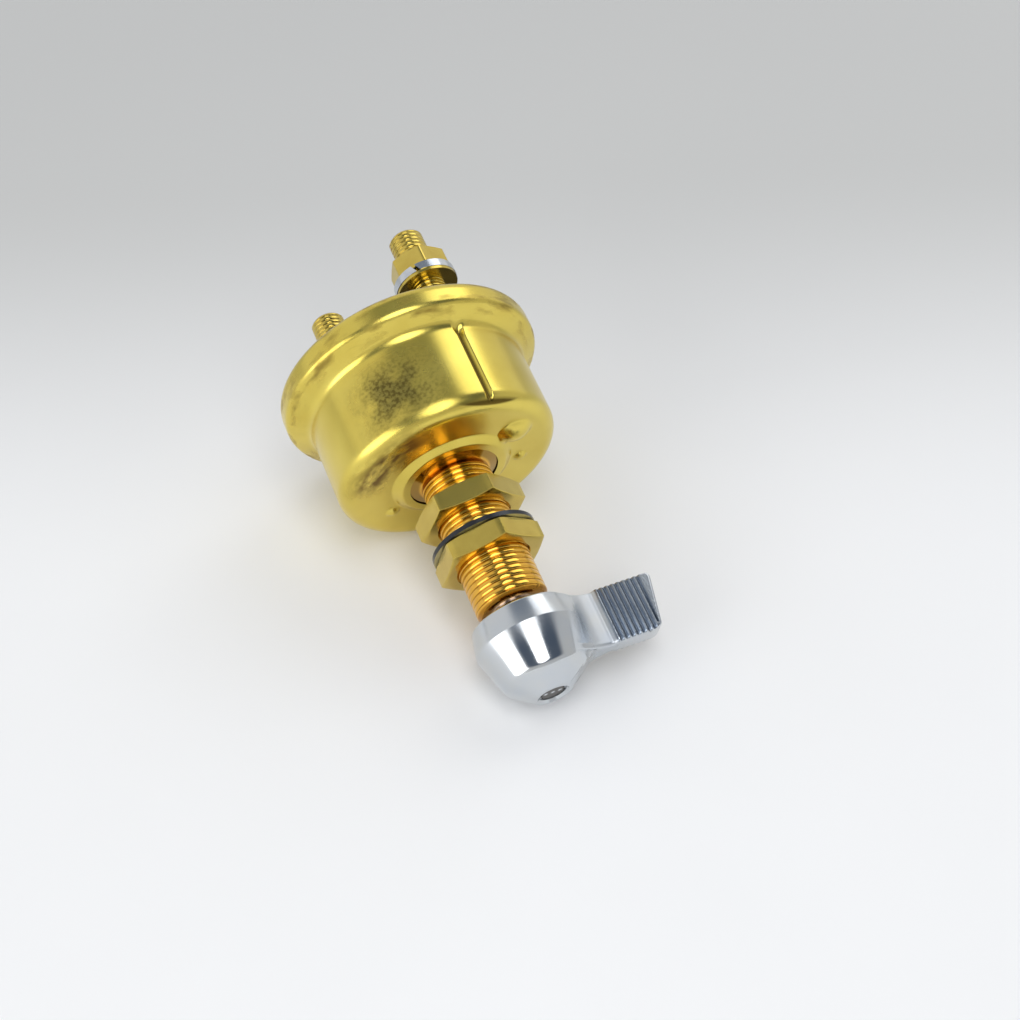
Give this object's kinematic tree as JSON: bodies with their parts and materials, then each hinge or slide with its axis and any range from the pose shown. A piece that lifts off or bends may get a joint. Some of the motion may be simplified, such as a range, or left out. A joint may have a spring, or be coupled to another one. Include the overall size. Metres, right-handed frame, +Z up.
{
  "type": "battery disconnect switch",
  "caption": "Panel-mount rotary battery disconnect switch: flanged brass can, threaded stem with mounting nuts, ribbed lever in front and threaded terminal studs behind.",
  "frame": {"origin": "on the stem's axis, in the front face of the rear jam nut, where the panel is clamped", "axes": "+Y runs along the stem's axis to the terminal studs, the lever is towards -Y, +X is along the lever's arm at rest, +Z is up"},
  "size_m": [0.0716, 0.1328, 0.0716],
  "materials": {
    "brass_can": "satin drawn brass, tarnished in patches",
    "brass_stem": "bright turned brass",
    "brass_nut": "satin brass",
    "zinc_washer": "bright zinc-plated steel",
    "zinc_lever": "bright plated die-cast zinc",
    "steel_shaft": "bright zinc-plated steel",
    "phenolic_base": "moulded phenolic, dull",
    "copper_bridge": "bare copper",
    "spring_steel": "oiled spring wire",
    "seal_rubber": "matt black rubber"
  },
  "bodies": {
    "switch_body": {"housing": "brass_can", "base_plate": "phenolic_base", "threaded_stem": "brass_stem", "rear_jam_nut": "brass_nut", "front_mounting_nut": "brass_nut", "mounting_lock_washer": "zinc_washer", "thrust_washer": "zinc_washer", "terminal_stud_a": "brass_nut", "stud_fixing_nut_a": "brass_nut", "lock_washer_a": "zinc_washer", "flat_washer_a": "brass_nut", "terminal_nut_a": "brass_nut", "terminal_stud_b": "brass_nut", "stud_fixing_nut_b": "brass_nut", "lock_washer_b": "zinc_washer", "flat_washer_b": "brass_nut", "terminal_nut_b": "brass_nut"},
    "lever_and_rotor": {"lever": "zinc_lever", "shaft": "steel_shaft", "shaft_seal": "seal_rubber", "rotor_carrier": "phenolic_base", "contact_spring": "spring_steel", "contact_bridge": "copper_bridge"}
  },
  "joints": [
    {"name": "lever_turn", "type": "hinge", "parent": "switch_body", "child": "lever_and_rotor", "pos_m": [0, 0, 0], "axis": [0, -1, 0], "range_deg": [0, 90]}
  ]
}
